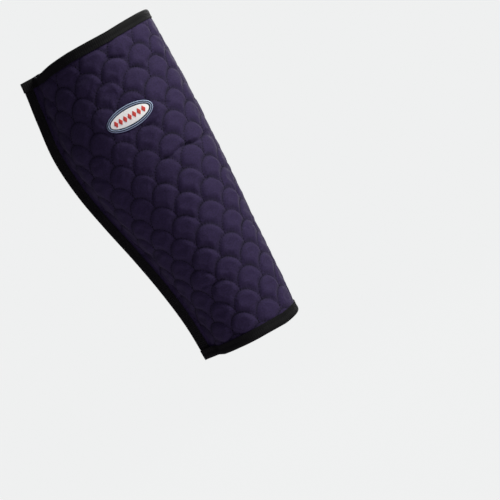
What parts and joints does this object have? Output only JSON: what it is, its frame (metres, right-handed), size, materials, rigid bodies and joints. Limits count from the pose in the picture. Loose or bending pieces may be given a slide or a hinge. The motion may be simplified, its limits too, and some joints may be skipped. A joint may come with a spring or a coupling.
{
  "type": "leg compression wrap",
  "caption": "Quilted padded calf wrap, closed as worn: a tapering open tube with bound edges whose long edges meet in a flat fin behind the calf, and an oval patch on the outer side.",
  "frame": {"origin": "on the leg's axis at half the wrap's length, where the calf holds it", "axes": "+Z along the leg towards the knee, +X towards the shin, -Y towards the side with the patch; the fin is at -X"},
  "size_m": [0.1502, 0.1227, 0.32],
  "materials": {
    "quilted_cloth": "dark violet-blue brushed cloth, quilted in clamshell rows",
    "binding_tape": "black woven binding tape",
    "closing_tape": "black hook-and-loop tape",
    "patch_cloth": "white woven satin with a plain red row of lozenges",
    "patch_thread": "grey-blue overlocked rim"
  },
  "bodies": {
    "root": {"quilted_panel": "quilted_cloth", "knee_binding": "binding_tape", "ankle_binding": "binding_tape", "near_flap_binding": "binding_tape", "far_flap_binding": "binding_tape", "closing_strip": "closing_tape", "patch_field": "patch_cloth", "patch_rim": "patch_thread"}
  },
  "joints": []
}
